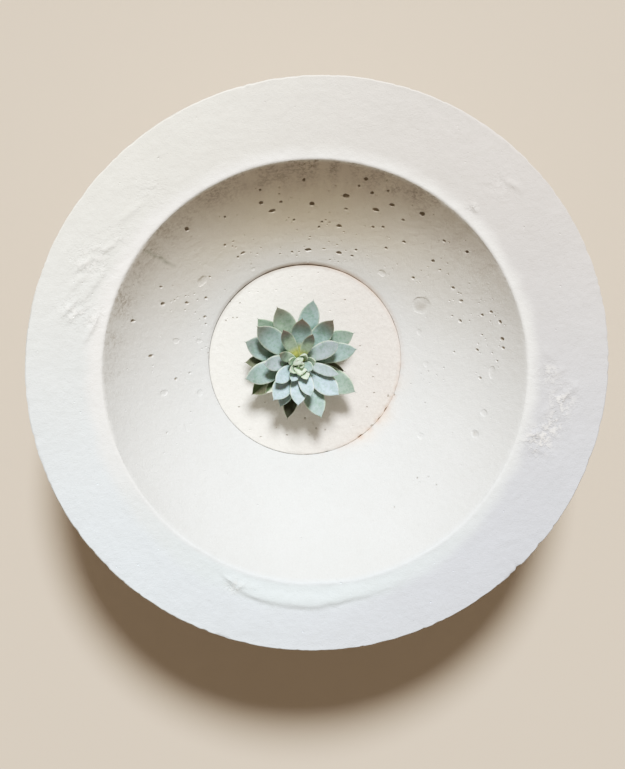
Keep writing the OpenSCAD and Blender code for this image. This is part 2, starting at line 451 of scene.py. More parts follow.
# Trowel ridges on the rim: two ends in the photograph, width and height in millimetres
RIDGES_PX = (
    ((62, 317), (75, 303), 2.4, 1.3), ((68, 322), (80, 312), 2.0, 0.7), ((87, 340), (99, 315), 2.6, 1.0),
    ((94, 330), (101, 300), 3.0, 0.6), ((76, 271), (94, 258), 3.0, 1.0), ((70, 290), (84, 276), 3.0, 0.6),
    ((102, 252), (116, 244), 2.6, 0.9), ((84, 300), (104, 272), 4.0, 0.7), ((120, 222), (142, 204), 3.5, 0.5),
    ((560, 402), (577, 386), 3.4, 0.9), ((548, 376), (566, 370), 3.4, 0.6), ((528, 440), (546, 425), 3.0, 0.7),
    ((530, 452), (540, 446), 3.0, 0.6), ((540, 420), (552, 404), 3.2, 0.5), ((543, 350), (552, 360), 3.4, 0.5),
    ((566, 380), (580, 396), 3.6, 0.5), ((554, 400), (562, 420), 3.6, 0.5), ((527, 432), (546, 440), 3.2, 0.5),
    ((534, 448), (550, 456), 3.4, 0.5), ((506, 181), (520, 190), 2.4, 0.8), ((470, 204), (476, 212), 2.2, 1.2),
    ((224, 576), (234, 584), 2.0, 0.8), ((236, 590), (243, 585), 2.0, 0.9), ((250, 596), (262, 600), 1.8, 0.6),
)
# Torn, flaky places on the rim: middle in the photograph, reach in millimetres and how torn they are
FLAKY_PX = (
    ((92, 262), 26, 0.6), ((72, 310), 20, 0.6), ((96, 318), 16, 0.5), ((60, 400), 18, 0.2),
    ((538, 440), 22, 0.8), ((562, 400), 20, 0.7), ((548, 372), 16, 0.6), ((556, 424), 14, 0.5),
    ((500, 185), 22, 0.35), ((472, 208), 8, 0.7), ((150, 190), 24, 0.35), ((234, 586), 14, 0.5),
    ((120, 235), 16, 0.4),
)
# The crease outside the lip's soft bead, at the front of the rim: its line in the photograph
CREASE_PX = (
    (212, 560), (222, 575), (236, 589), (262, 601), (290, 606), (320, 607), (353, 599), (392, 588), (425, 578)
)
CREASE_DEPTH = 0.8 * MM
CREASE_REACH = 9 * MM
BEAD_RISE = 1 * MM
BEAD_REACH = 6 * MM
# The trowel's strokes: the radius at which their length is measured, and their length and width
STROKE_R = 0.18
STROKE_L = 0.030
STROKE_W = 0.007

ridges = [(plan_point(*a).xy, plan_point(*b).xy, wide * MM, high * MM) for a, b, wide, high in RIDGES_PX]
flaky = [(plan_point(*at).xy, reach * MM, share) for at, reach, share in FLAKY_PX]
crease = sorted(polar(plan_point(*p), CORE)[::-1] for p in CREASE_PX)
CREASE_FROM, CREASE_TO = crease[0][0], crease[-1][0]


def torn_share(x, y):
    """How torn the rim's skin is at a plan point."""
    return sum(share * hump(hypot(x - at.x, y - at.y), reach * 0.6) for at, reach, share in flaky)


def crease_relief(x, y):
    """The rim is let down a little just outside the bead, and comes back up further out."""
    r, a = polar((x, y), CORE)
    if not CREASE_FROM < a < CREASE_TO:
        return 0.0
    line_r = float(np.interp(a, *zip(*crease)))
    rough = ease(-a, 95, 118)
    beyond = r - line_r - (0.8 + 0.8 * rough) * MM * wrinkle(x, y, 9, 4)
    strength = ease(a, CREASE_FROM, CREASE_FROM + 12) * (1 - ease(a, CREASE_TO - 26, CREASE_TO))
    drop = ease(beyond, -1.5 * MM, 3.5 * MM) * exp(-max(beyond, 0) / CREASE_REACH)
    bead = BEAD_RISE * hump(beyond + 3.5 * MM, BEAD_REACH) * (1 - ease(beyond, -2 * MM, 3 * MM))
    lumps = 0.7 * MM * rough * wrinkle(x, y, 5, 9) * hump(beyond + 2 * MM, 9 * MM)
    return strength * (bead + lumps - CREASE_DEPTH * drop)


def rim_relief(x, y):
    """Height of the hand-trowelled rim above its plain form."""
    r, a = polar((x, y), (0, 0))
    sweep = radians(a) * STROKE_R
    stroke = noise.fractal(Vector((sweep / STROKE_L, (r - 0.25 * sweep) / STROKE_W, 2)), 0.8, 2.0, 3)
    height = 0.45 * MM * wrinkle(x, y, 70, 1)
    height += 0.22 * MM * wrinkle(x, y, 16, 5)
    rough_side = 0.5 + 0.7 * max(facing(a, 165, 35), facing(a, -15, 30))
    height += 0.13 * MM * rough_side * stroke
    height += 0.07 * MM * wrinkle(x, y, 3.5, 7)
    torn = torn_share(x, y)
    if torn > 0.02:
        flakes = noise.ridged_multi_fractal(Vector((x / 0.012, y / 0.007, 3)), 0.9, 2.1, 4, 1.0, 2.0)
        height += torn * (0.45 * flakes - 0.4) * MM
    for start, end, width, rise in ridges:
        d, side, t = line_distance(x, y, start, end)
        if d < 3 * width:
            taper = sin(pi * clamp(0.12 + 0.76 * t))
            reach = width * (0.4 if side < 0 else 1.0) * (1 + 0.4 * wrinkle(x, y, 5, 8))
            height += 1.1 * rise * taper * hump(d, reach)
    return height + crease_relief(x, y)


def edge_wear(a):
    """How far the rim's edge falls short of its circle in a direction: ragged, with small chips."""
    x, y = point_at((0, 0), RIM_R, a)
    ragged = 0.4 * MM * ease(wrinkle(x, y, 13, 11), -0.2, 0.6)
    ragged += 0.6 * MM * ease(wrinkle(x, y, 5, 12), 0.0, 0.6)
    ragged += 0.12 * MM * (1 + wrinkle(x, y, 2.2, 16))
    return ragged + 0.9 * MM * ease(wrinkle(x, y, 9, 13), 0.3, 0.5) * ease(wrinkle(x, y, 60, 14), -0.1, 0.3)


def side_relief(x, y, z):
    """How far the cast outside falls short of its plain form: soft swells and small dents."""
    place = Vector((x, y, z))
    return 0.3 * MM * (1 + noise.noise(place / 0.030)) + 0.15 * MM * (1 + noise.noise(place / 0.009))


def seam_fill(a):
    """Share of the seam that crumbs of cement close in a direction: hardly any at the back."""
    open_share = 0.65 * facing(a, 108, 74) + 0.35 * facing(a, -100, 34)
    crumbs = 0.5 + 0.5 * waver(cos(radians(a)), sin(radians(a)), 0.12, 15)
    return clamp(0.85 - open_share + 0.25 * (crumbs - 0.5), 0.9)


# ---- the bowl's casting, whose cross-section is made of (radius, height) points

LIP_CENTRE = (HOLLOW_R + LIP_R * sin(radians(WALL_SLOPE)), RIM_Z - LIP_R)


def lip_point(slope):
    """Where the lip's round has a slope in degrees."""
    return LIP_CENTRE[0] - LIP_R * sin(radians(slope)), LIP_CENTRE[1] + LIP_R * cos(radians(slope))


WALL_START = (RECESS_R, DISC_TOP)
WALL_END = lip_point(WALL_SLOPE)
LIP_TOP = lip_point(LIP_EXIT)
CHORD_SLOPE = degrees(atan2(WALL_END[1] - WALL_START[1], WALL_END[0] - WALL_START[0]))
WALL_BEND = WALL_SLOPE - CHORD_SLOPE
WALL_BEND_AT, WALL_BEND_R = arc_circle(WALL_START, WALL_END, WALL_BEND)
SLOPE_START = (RIM_R - RIM_SLOPE_W, RIM_Z)
RIM_SLOPE = degrees(atan2(RIM_FALL, RIM_SLOPE_W))
EDGE_TOP = (RIM_R, RIM_Z - RIM_FALL)
EDGE_LOW = (RIM_R, RIM_Z - RIM_FALL - EDGE_H)


def bowl_profile():
    """The casting's cross-section as (radius, height, zone), from the drain hole up and over."""
    drain_foot, drain_top = (DRAIN_R, UNDERSIDE_Z), (DRAIN_R, POCKET_FLOOR)
    pocket_foot, pocket_top = (POCKET_R, POCKET_FLOOR), (POCKET_R, DISC_SEAT)
    recess_foot, seam_foot = (RECESS_R, DISC_SEAT), (RECESS_R, SEAM_FOOT)
    edge_bend, base_edge = (RIM_R, EDGE_TOP[1] - EDGE_ROUND), (BASE_R, UNDERSIDE_Z)
    stretches = (
        ("drain", straight(drain_foot, drain_top, 1)),
        ("pocket", straight(drain_top, pocket_foot, 1)),
        ("pocket", straight(pocket_foot, pocket_top, 1)),
        ("pocket", straight(pocket_top, recess_foot, 1)),
        ("recess", straight(recess_foot, seam_foot, 2)),
        ("seam", straight(seam_foot, (RECESS_R, DISC_TOP - 0.5 * MM), 3)),
        ("wall", left_arc(WALL_START, WALL_END, WALL_BEND, 34)),
        ("lip", left_arc(WALL_END, LIP_TOP, -(WALL_SLOPE - LIP_EXIT) / 2, 7)),
        ("rim", straight(LIP_TOP, SLOPE_START, 13)),
        ("rim", left_arc(SLOPE_START, (RIM_R - EDGE_ROUND, EDGE_TOP[1]), -RIM_SLOPE, 27)),
        ("edge", straight(EDGE_TOP, edge_bend, 1)),
        ("edge", straight(edge_bend, EDGE_LOW, 9)),
        ("outside", left_arc(base_edge, EDGE_LOW, OUTER_BEND, 15)[-2::-1]),
        ("base", [base_edge, *straight(base_edge, drain_foot, 2)]),
    )
    return [(r, z, zone) for zone, points in stretches for r, z in points]


def hollow_share(z):
    """0 at the disc's level, 1 at the rim's."""
    return clamp((z - DISC_TOP) / (RIM_Z - DISC_TOP))


def hollow_centre(z):
    """The middle of the hollow at a height."""
    return mix(SEAM_AT, LIP_AT, hollow_share(z))


def oval_swell(a):
    """How far the lip lies outside its mean circle in a direction."""
    return LIP_OVAL * cos(2 * radians(a - OVAL_TOWARDS))


def hollow_polar(x, y, z):
    """Distance from the hollow's middle, as if it were round, and direction."""
    r, a = polar((x, y), hollow_centre(z))
    return r - oval_swell(a) * hollow_share(z), a


def ring_centre(r, z, zone):
    """The middle of a ring, and its share of the lip's oval shape."""
    if zone in ("edge", "outside"):
        return (0.0, 0.0), 0.0
    if zone == "base":
        return mix(CORE, (0.0, 0.0), ease(r, DRAIN_R, BASE_R)), 0.0
    if zone in ("drain", "pocket"):
        return mix(CORE, SEAM_AT, ease(r, POCKET_R, RECESS_R)), 0.0
    if zone == "rim":
        share = ease(r, LIP_TOP[0], RIM_R - 8 * MM)
        return mix(LIP_AT, (0.0, 0.0), share), 1 - share
    return hollow_centre(z), hollow_share(z)


def bowl_ring(r, z, zone):
    """One ring of the casting, with the relief of its zone."""
    centre, oval = ring_centre(r, z, zone)
    ring = []
    for a in turns(AROUND):
        towards = degrees(a)
        here, up = r + oval * oval_swell(towards), z
        if zone == "seam":
            here -= SEAM_GAP * seam_fill(towards) * (0.4 if z < DISC_TOP - 2.5 * MM else 1.0)
        x, y = point_at(centre, here, a)
        if zone == "wall":
            inward = 0.25 * MM * wrinkle(x, y, 38, 21) + 0.05 * MM * wrinkle(x, y, 6, 22)
            here -= inward * ease(r, RECESS_R, RECESS_R + 12 * MM)
            if r < RECESS_R + MM:
                here -= SEAM_GAP * seam_fill(towards)
        elif zone == "lip":
            soft = facing(towards, -92, 42)
            wave = 0.5 * wrinkle(x, y, 24, 23) + 0.25 * wrinkle(x, y, 6, 24)
            here += (0.25 + 1.1 * soft) * MM * wave
            up += 0.3 * MM * soft * wrinkle(x, y, 9, 25)
            up += rim_relief(x, y) * ease(z, RIM_Z - LIP_R, RIM_Z)
        elif zone == "rim":
            wear = edge_wear(a) * ease(r, RIM_R - 14 * MM, RIM_R - EDGE_ROUND)
            here -= wear
            up += rim_relief(x, y) - 0.25 * wear
        elif zone == "edge":
            wear = edge_wear(a)
            here -= wear + (side_relief(x, y, z) - wear) * ease(EDGE_TOP[1] - z, 0.5 * MM, 7 * MM)
            up -= 0.2 * MM * (1 + wrinkle(x, y, 7, 27)) * ease(z, EDGE_LOW[1], EDGE_TOP[1])
        elif zone == "outside":
            here -= side_relief(x, y, z) * ease(z, UNDERSIDE_Z, 0.02)
        ring.append((*point_at(centre, here, a), up))
    return ring


# ---- bug holes, craters and chips

# Bug holes in the hollow: middle in the photograph, width and height there in pixels
HOLES_PX = (
    (304, 180, 4, 4), (260, 190, 3, 3), (261, 203, 5, 4), (281, 202, 4, 3), (312, 204, 6, 5), (272, 211, 8, 4),
    (225, 217, 3, 3), (187, 229, 5, 5), (294, 220, 3, 3), (297, 230, 2, 2), (225, 245, 3, 3), (243, 253, 6, 3),
    (238, 257, 3, 3), (292, 252, 3, 3), (299, 252, 3, 2), (308, 250, 8, 4), (280, 254, 3, 2), (210, 277, 3, 3),
    (161, 287, 3, 4), (206, 298, 4, 4), (366, 179, 5, 4), (359, 186, 3, 3), (372, 193, 4, 4), (388, 191, 3, 3),
    (346, 196, 7, 5), (392, 205, 6, 4), (376, 210, 8, 4), (346, 209, 4, 3), (422, 214, 6, 5), (403, 220, 4, 3),
    (322, 222, 3, 3), (319, 227, 3, 3), (339, 226, 6, 4), (373, 227, 4, 3), (383, 227, 4, 3), (404, 242, 5, 3),
    (444, 241, 4, 3), (386, 248, 4, 3), (356, 250, 4, 3), (324, 249, 5, 2), (337, 245, 3, 2), (339, 253, 7, 4),
    (352, 256, 4, 3), (330, 260, 3, 2), (467, 252, 4, 4), (433, 261, 4, 4), (440, 270, 3, 3), (413, 278, 4, 4),
    (453, 288, 4, 4), (461, 301, 4, 5), (452, 316, 3, 3), (460, 321, 5, 4), (482, 315, 4, 4), (491, 312, 4, 4),
    (500, 322, 5, 4), (502, 339, 5, 5), (503, 348, 4, 4), (477, 350, 4, 4), (454, 352, 3, 3), (482, 335, 3, 3),
    (497, 361, 3, 3), (480, 378, 4, 4), (163, 304, 5, 5), (187, 303, 4, 5), (205, 317, 4, 4), (206, 324, 3, 3),
    (133, 321, 4, 5), (151, 356, 4, 6), (190, 373, 3, 4), (176, 379, 4, 4), (167, 433, 3, 3), (417, 478, 3, 3),
    (436, 485, 3, 3), (394, 507, 3, 3), (394, 395, 3, 3), (341, 583, 3, 2), (301, 538, 3, 2), (258, 505, 3, 2),
)
SHALLOW_BELOW_PX = 262
# Where pinholes crowd: middle in the photograph, reach in pixels and how many
CLUSTERS_PX = (
    (340, 252, 20, 14), (300, 250, 18, 8), (250, 256, 14, 6), (232, 248, 8, 4), (330, 226, 12, 5),
    (378, 190, 14, 4), (392, 268, 12, 5), (440, 268, 16, 5), (456, 296, 14, 9), (462, 320, 12, 6),
    (490, 318, 14, 8), (482, 345, 14, 6), (500, 345, 8, 5), (480, 372, 14, 5), (416, 282, 10, 4),
    (190, 306, 14, 6), (206, 322, 10, 5), (206, 345, 10, 5), (186, 382, 14, 6), (150, 362, 8, 4),
    (176, 300, 12, 4), (430, 380, 20, 6), (420, 480, 14, 4),
)
# Wide shallow craters in the hollow, in the same way
CRATERS_PX = (
    (421, 305, 19, 19), (382, 273, 9, 6), (492, 372, 13, 7), (202, 281, 13, 8), (484, 413, 8, 7),
    (475, 434, 8, 8), (421, 436, 7, 7), (164, 393, 7, 8), (199, 341, 5, 6), (176, 341, 6, 7), (200, 393, 7, 6),
    (426, 364, 7, 5), (419, 332, 7, 5), (186, 428, 9, 3), (253, 269, 5, 4),
)
# Small holes in the cream disc, in the same way
DISC_HOLES_PX = (
    (318, 273, 3, 2), (292, 277, 3, 2), (333, 294, 3, 2), (345, 300, 4, 3), (330, 311, 4, 2), (360, 346, 3, 3),
    (373, 377, 4, 3), (374, 393, 4, 3), (367, 407, 3, 3), (316, 428, 3, 3), (325, 430, 4, 3), (287, 435, 4, 3),
    (315, 440, 3, 2), (239, 407, 4, 3), (250, 430, 5, 2), (261, 437, 4, 3), (233, 318, 3, 3), (240, 303, 3, 3),
    (353, 426, 3, 2), (377, 365, 3, 3), (258, 292, 3, 2), (345, 372, 2, 2), (305, 418, 4, 3), (313, 423, 3, 2),
    (309, 435, 3, 2), (237, 318, 3, 3), (226, 321, 3, 3), (230, 302, 4, 3), (249, 292, 3, 2), (276, 290, 3, 2),
    (372, 426, 5, 4), (388, 396, 3, 5),
)
# A fine crack that runs down the hollow's wall from the lip
CRACK_PX = ((143, 246), (150, 249), (155, 254), (161, 257), (166, 262), (174, 267))
CRACK_Z = 0.118
CRACK_W = 0.3 * MM
CRACK_DEPTH = 0.3 * MM
# A pixel's width on the rim
PIXEL = 0.73 * MM
# Pores at random places: how many, their ring's middle and radii, their widths, their depth as a share of half
# their height, and the direction and spread in degrees in which they are thicker
BOWL_PORES = (
    (170, CORE, (0.078, 0.146), (0.6 * MM, 1.5 * MM), 1.2, 85, 60),
    (90, CORE, (0.078, 0.148), (0.6 * MM, 1.6 * MM), 0.5, 250, 80),
    (70, (0, 0), (0.166, 0.206), (0.7 * MM, 1.7 * MM), 0.6),
)
DISC_PORES = (110, CORE, (0.036, 0.071), (0.5 * MM, 1.2 * MM), 0.9)
# Pores on the bowl's outside: how many, their heights and widths
SIDE_PORES = 70
SIDE_PORES_Z = (0.02, 0.138)
SIDE_PORES_W = (1 * MM, 3.6 * MM)
# Edges that turn by more degrees than this stay sharp
SHARP_FROM = 38


class Cutters:
    """Small lumps that are cut out of a surface together, none touching another."""

    def __init__(self, points, faces):
        self.surface = BVHTree.FromPolygons(points, faces)
        self.shapes = bmesh.new()
        self.taken = []
        self.random = random.Random(7)

    def meet(self, start, ray):
        """Where a ray meets the surface, and the surface's normal on that side."""
        at, normal, _, _ = self.surface.ray_cast(start, ray)
        return at, normal if at is None or normal.dot(ray) < 0 else -normal

    def hole(self, at, normal, wide, high, depth, turn=0.0):
        """A rough hollow of that width and height, let into the surface to a depth."""
        reach = max(wide, high) / 2 + 0.2 * MM
        if any((at - other).length < reach + r for other, r in self.taken):
            return
        self.taken.append((at, reach))
        across = Vector((0, 0, 1)).cross(normal)
        across = across.normalized() if across.length > 0.05 else Vector((1, 0, 0))
        across = Matrix.Rotation(turn, 3, normal) @ across
        along = normal.cross(across)
        detail = 3 if max(wide, high) > 5 * MM else 2
        made = bmesh.ops.create_icosphere(self.shapes, subdivisions=detail, radius=1.0)
        seed = self.random.uniform(0, 90)
        for v in made["verts"]:
            lump = 1 + 0.22 * noise.noise(v.co * 1.3 + Vector((seed, 0, 0)))
            p = v.co * lump
            v.co = at + across * p.x * wide / 2 + along * p.y * high / 2 + normal * p.z * depth

    def hole_seen_at(self, x, y, wide, high, depth_share, grow=1.0):
        """A hole where the camera sees a pixel of the photograph."""
        ray, size = pixel_ray(x, y), PIXEL * grow
        at, normal = self.meet(CAMERA_AT, ray)
        if at is not None:
            tilt = max(abs(normal.dot(ray)), 0.5)
            self.hole(at, normal, wide * size, high * size / tilt, depth_share * size * min(wide, high) / 2)

    def scattered(self, start, ray, widths, depth_share):
        """A hole of random shape where a ray meets the surface."""
        at, normal = self.meet(start, ray)
        if at is not None:
            wide = self.random.uniform(*widths)
            high = wide * self.random.uniform(0.6, 1.1)
            self.hole(at, normal, wide, high, depth_share * high / 2, self.random.uniform(0, pi))

    def pores(self, count, centre, radii, widths, depth_share, towards=None, spread=None):
        """Holes on the surface straight below random points of a ring."""
        for _ in range(count):
            r = sqrt(self.random.uniform(radii[0] ** 2, radii[1] ** 2))
            if spread is None:
                a = self.random.uniform(0, 2 * pi)
            else:
                a = radians(self.random.gauss(towards, spread))
            self.scattered(Vector((*point_at(centre, r, a), 1)), Vector((0, 0, -1)), widths, depth_share)

    def crack(self, line, width, depth):
        """A thin slit along pixels of the photograph."""
        rows = [self.meet(CAMERA_AT, pixel_ray(x, y)) for x, y in line]
        rings = []
        for i, (at, normal) in enumerate(rows):
            before, after = rows[max(i - 1, 0)][0], rows[min(i + 1, len(rows) - 1)][0]
            side = (after - before).cross(normal).normalized()
            half = side * width / 2 * sin(pi * (i + 0.6) / (len(rows) + 0.2))
            deep = normal * depth
            rings.append([self.shapes.verts.new(p) for p in (at + half + deep, at - half + deep, at - deep)])
        for a, b in zip(rings, rings[1:]):
            for k in range(3):
                self.shapes.faces.new((a[k], a[(k + 1) % 3], b[(k + 1) % 3], b[k]))
        self.shapes.faces.new(rings[0][::-1])
        self.shapes.faces.new(rings[-1])

    def cut_from(self, piece):
        bmesh.ops.recalc_face_normals(self.shapes, faces=self.shapes.faces[:])
        tool = object_of(self.shapes, "cutters")
        carve = piece.modifiers.new("holes", "BOOLEAN")
        carve.operation, carve.solver, carve.object = "DIFFERENCE", "MANIFOLD", tool
        bpy.context.view_layer.objects.active = piece
        bpy.ops.object.modifier_apply(modifier=carve.name)
        bpy.data.objects.remove(tool)
        piece.data.polygons.foreach_set("use_smooth", [True] * len(piece.data.polygons))
        piece.data.set_sharp_from_angle(angle=radians(SHARP_FROM))


def cut_bowl_holes(piece, points, faces):
    cutters = Cutters(points, faces)
    rnd = cutters.random
    for x, y, wide, high in HOLES_PX:
        cutters.hole_seen_at(x, y, wide, high, 1.4 if y < SHALLOW_BELOW_PX else 0.9, 0.95)
    for x, y, wide, high in CRATERS_PX:
        cutters.hole_seen_at(x, y, wide, high, 0.11 if wide > 15 else 0.24)
    cutters.crack(CRACK_PX, CRACK_W, CRACK_DEPTH)
    for x, y, reach, count in CLUSTERS_PX:
        for _ in range(count):
            wide = rnd.uniform(1.4, 2.6)
            cutters.hole_seen_at(rnd.gauss(x, reach / 2), rnd.gauss(y, reach / 2), wide, 0.8 * wide, 1.2)
    for pores in BOWL_PORES:
        cutters.pores(*pores)
    for _ in range(SIDE_PORES):
        a = rnd.uniform(0, 2 * pi)
        out = Vector((cos(a), sin(a), 0))
        cutters.scattered(out * 0.5 + Vector((0, 0, rnd.uniform(*SIDE_PORES_Z))), -out, SIDE_PORES_W, 0.8)
    cutters.cut_from(piece)


# ---- tones painted on the concrete

# The rim's back, front, left and right tones are painted light and shade: a warm cast at the back, a cool cast
# at the front, lighter on the left and darker on the right
RIM_MIDDLE = srgb(225, 225, 227)
RIM_BACK_WARM_LIGHT = srgb(223, 223, 223)
RIM_FRONT_COOL_LIGHT = srgb(219, 230, 246)
RIM_LEFT_LIT = srgb(240, 241, 236)
RIM_RIGHT_SHADED = srgb(218, 214, 212)
WALL_TONE = srgb(236, 239, 240)
# The front wall's tone is painted shade that holds back the light on the sunlit front
WALL_FRONT_SHADED = srgb(221, 226, 227)
# The lip is lighter laitance all round. Its left tone is painted light, its front tone is painted shade with a
# cool cast, and the front band is lighter laitance with painted cool light
LIP_TONE = srgb(248, 249, 247)
LIP_FRONT_SHADED = srgb(224, 234, 240)
LIP_LEFT_LIT = srgb(255, 255, 253)
BAND_FRONT_COOL_LIGHT = srgb(233, 248, 254)
# The back wall's grime tone is dirt and painted shade together, and the warm wall tone is a painted warm cast
# of light bounced into that shade
GRIME_AND_SHADE = srgb(180, 164, 152)
WARM_BOUNCE_LIGHT = srgb(226, 211, 180)
# Holes and pits are painted darker: dirt in them, and painted shade for the shade that fills them
HOLE_DIRT_AND_SHADE = srgb(150, 138, 120)
PIT_DIRT_AND_SHADE = srgb(124, 112, 92)
CRACK_TONE = srgb(120, 128, 104)
OUTSIDE_TONE = srgb(218, 216, 212)
RUST_TONE = srgb(214, 172, 140)
RUST_TINT = srgb(240, 222, 204)
# The seam's brown is dirt, with painted shade where the wall's edge shades the seam at the back
SEAM_DIRT_AND_SHADE = srgb(124, 104, 82)
DISC_TONE = srgb(250, 250, 244)
DISC_PINK = srgb(233, 228, 222)

# Between which heights the hollow's painted warm light, its grime with painted shade and its stains come in,
# and how far from the middle the rim has its painted light and shade
WARM_BOUNCE_Z = (0.062, 0.100)
GRIME_AND_SHADE_Z = (0.092, 0.142)
BLOTCH_Z = (0.112, 0.140)
PATINA_Z = (0.114, 0.138)
RIM_TONES_AT = 0.17

crack_points = [plan_point(x, y, CRACK_Z) for x, y in CRACK_PX]


def rim_tone(x, y):
    """The rim's tone with painted light in it: a warm cast at the back, a cool cast at the front, painted
    light on the left and painted shade on the right.
    """
    along = mix(RIM_BACK_WARM_LIGHT, RIM_FRONT_COOL_LIGHT, ease(-y, -RIM_TONES_AT, RIM_TONES_AT))
    across = mix(RIM_RIGHT_SHADED, RIM_LEFT_LIT, ease(-x, -RIM_TONES_AT, RIM_TONES_AT))
    return tuple(p * q / r for p, q, r in zip(along, across, RIM_MIDDLE))


def streak(z, a):
    """Noise drawn out down the wall, for the runs that water has left."""
    return noise.fractal(Vector((radians(a) * 0.15 / 0.008, z / 0.024, 32)), 0.7, 2.0, 3)


def wall_tone(x, y, z, a):
    """The wall's tone: painted shade over the sunlit front, a painted warm cast of bounced light low at the
    back, and grime with painted shade up under the lip at the back.
    """
    back = facing(a, 92, 62)
    clouds = wrinkle(x, y, 14, 34)
    # grime here is old dirt and also painted shade on the back wall, which faces away from the light
    grime = back * ease(z, *GRIME_AND_SHADE_Z) * (0.42 + 0.12 * streak(z, a) + 0.2 * clouds)
    return coat(
        WALL_TONE,
        (WALL_FRONT_SHADED, facing(a, -90, 80)),
        (WARM_BOUNCE_LIGHT, 0.7 * back * ease(z, *WARM_BOUNCE_Z)),
        (GRIME_AND_SHADE, clamp(grime, 0.85)),
    )


def stain_share(x, y, z):
    """Dirt of the hollow: blotches under the lip at the back, and a grainy patina on the left."""
    r, a = hollow_polar(x, y, z)
    if r > LIP_CENTRE[0] or not WALL_START[1] < z < WALL_END[1] + 0.5 * MM:
        return 0.0
    blotches = facing(a, 88, 48) * ease(z, *BLOTCH_Z)
    patina = 0.75 * facing(a, 158, 24) * ease(z, *PATINA_Z)
    patchy = 0.5 + 0.55 * wrinkle(x, y, 11, 38) + 0.5 * streak(z, a)
    return clamp((blotches + patina) * patchy)


def seam_tone(tone, x, y, beyond, a):
    """Colour along the seam: brown dirt with painted shade at the back, ochre at the right, and rust at the
    front right.
    """
    # The brown at the back is dirt and painted shade together
    dirt_and_shade = facing(a, 100, 60) * (0.9 + 0.3 * wrinkle(x, y, 9, 36))
    ochre = facing(a, 48, 38) * (0.4 + 0.4 * wrinkle(x, y, 12, 39))
    near = facing(a, -38, 32)
    tint = near * (0.2 + 0.5 * wrinkle(x, y, 14, 37)) * hump(beyond, 7 * MM)
    rusty = near * (0.4 + 1.2 * wrinkle(x, y, 6, 33)) * hump(beyond, 1.3 * MM)
    return coat(
        tone,
        (SEAM_DIRT_AND_SHADE, min(dirt_and_shade, 0.95) * hump(beyond, 0.6 * MM)),
        (RUST_TONE, max(ochre, 0.0) * hump(beyond, 1.1 * MM)),
        (RUST_TINT, max(tint, 0.0)),
        (RUST_TONE, clamp(rusty)),
    )


def bowl_tone(x, y, z):
    """The concrete's colour at a point of the casting."""
    r, a = hollow_polar(x, y, z)
    if z < DISC_TOP - 4 * MM and r < RECESS_R + MM:
        return OUTSIDE_TONE
    depth = (Vector((r, z)) - WALL_BEND_AT).length - WALL_BEND_R
    if depth > 6 * MM and z < EDGE_TOP[1] - 2 * MM:
        return mix(OUTSIDE_TONE, rim_tone(x, y), ease(z, EDGE_LOW[1], EDGE_TOP[1] - 2 * MM))
    on_rim = r > LIP_TOP[0]
    lip = 1.0 if on_rim else ease(z, WALL_END[1] - MM, WALL_END[1] + MM)
    front = facing(a, -98, 44)
    band = LIP_TOP[0] + (5 + 13 * front + 4 * facing(a, 178, 60)) * MM
    band += 2.5 * MM * wrinkle(x, y, 16, 35)
    tone = coat(
        wall_tone(x, y, z, a),
        # The lip's left and front tones and the front band carry painted light and shade
        (coat(LIP_TONE, (LIP_LEFT_LIT, facing(a, 180, 40)), (LIP_FRONT_SHADED, facing(a, -85, 68))), lip),
        (BAND_FRONT_COOL_LIGHT, front * ease(r, LIP_TOP[0] - MM, LIP_TOP[0] + 3 * MM)),
        (rim_tone(x, y), ease(r, band - 6 * MM, band + 6 * MM) * lip),
    )
    # Holes below the wall's face are painted darker by their depth: dirt and painted shade together
    if z < WALL_END[1] and not on_rim:
        tone = mix(tone, HOLE_DIRT_AND_SHADE, 0.9 * ease(depth, 0.45 * MM, 1.2 * MM))
        for p, q in zip(crack_points, crack_points[1:]):
            tone = mix(tone, CRACK_TONE, 0.3 * hump(line_distance(x, y, p.xy, q.xy)[0], 1.2 * MM))
    return seam_tone(tone, x, y, r - RECESS_R, a)


def disc_tone(x, y, z):
    """The cream disc's colour at a point."""
    r, a = polar((x, y), SEAM_AT)
    pink = 0.25 * wrinkle(x, y, 30, 41) + (x - SEAM_AT[0]) / DISC_R
    # Pits in the disc are painted darker: dirt and painted shade in them
    pit = ease(DISC_TOP - z, 0.35 * MM, 0.9 * MM) * ease(z, SEAM_FOOT, DISC_TOP - 2 * MM)
    inside = 1 - ease(r, DISC_EDGE_R - 1.5 * MM, DISC_EDGE_R - 0.5 * MM)
    tone = coat(DISC_TONE, (DISC_PINK, ease(pink, -0.7, 0.8)), (PIT_DIRT_AND_SHADE, 0.8 * pit * inside))
    return seam_tone(tone, x, y, r - DISC_EDGE_R, a)


def bowl_wear(x, y, z):
    """How torn and how stained the bowl's skin is at a point."""
    return torn_share(x, y) if z > WALL_END[1] else 0.0, stain_share(x, y, z), 0.0


def disc_wear(x, y, z):
    """The disc is mottled, most of all along its right edge."""
    r, a = polar((x, y), SEAM_AT)
    mottled = 0.06 + 0.12 * facing(a, -20, 50) * ease(r, 0.6 * DISC_EDGE_R, 0.95 * DISC_EDGE_R)
    return 0.25, mottled if z > DISC_TOP - MM else 0.0, 0.0


def paint(piece, tone, wear):
    """Gives every point of a mesh its colour, and its shares of torn and stained skin."""
    spots = [v.co for v in piece.data.vertices]
    store_colours(piece, "tone", [tone(*p) for p in spots])
    store_colours(piece, "wear", [wear(*p) for p in spots])


def make_bowl():
    points, faces = closed_rings([bowl_ring(r, z, zone) for r, z, zone in bowl_profile()])
    piece = mesh_object("bowl_casting", points, faces, concrete_finish("white_concrete", 0.28))
    cut_bowl_holes(piece, points, faces)
    paint(piece, bowl_tone, bowl_wear)
    dress(piece, "bowl", "concrete", "bowl")


# ---- the cream disc


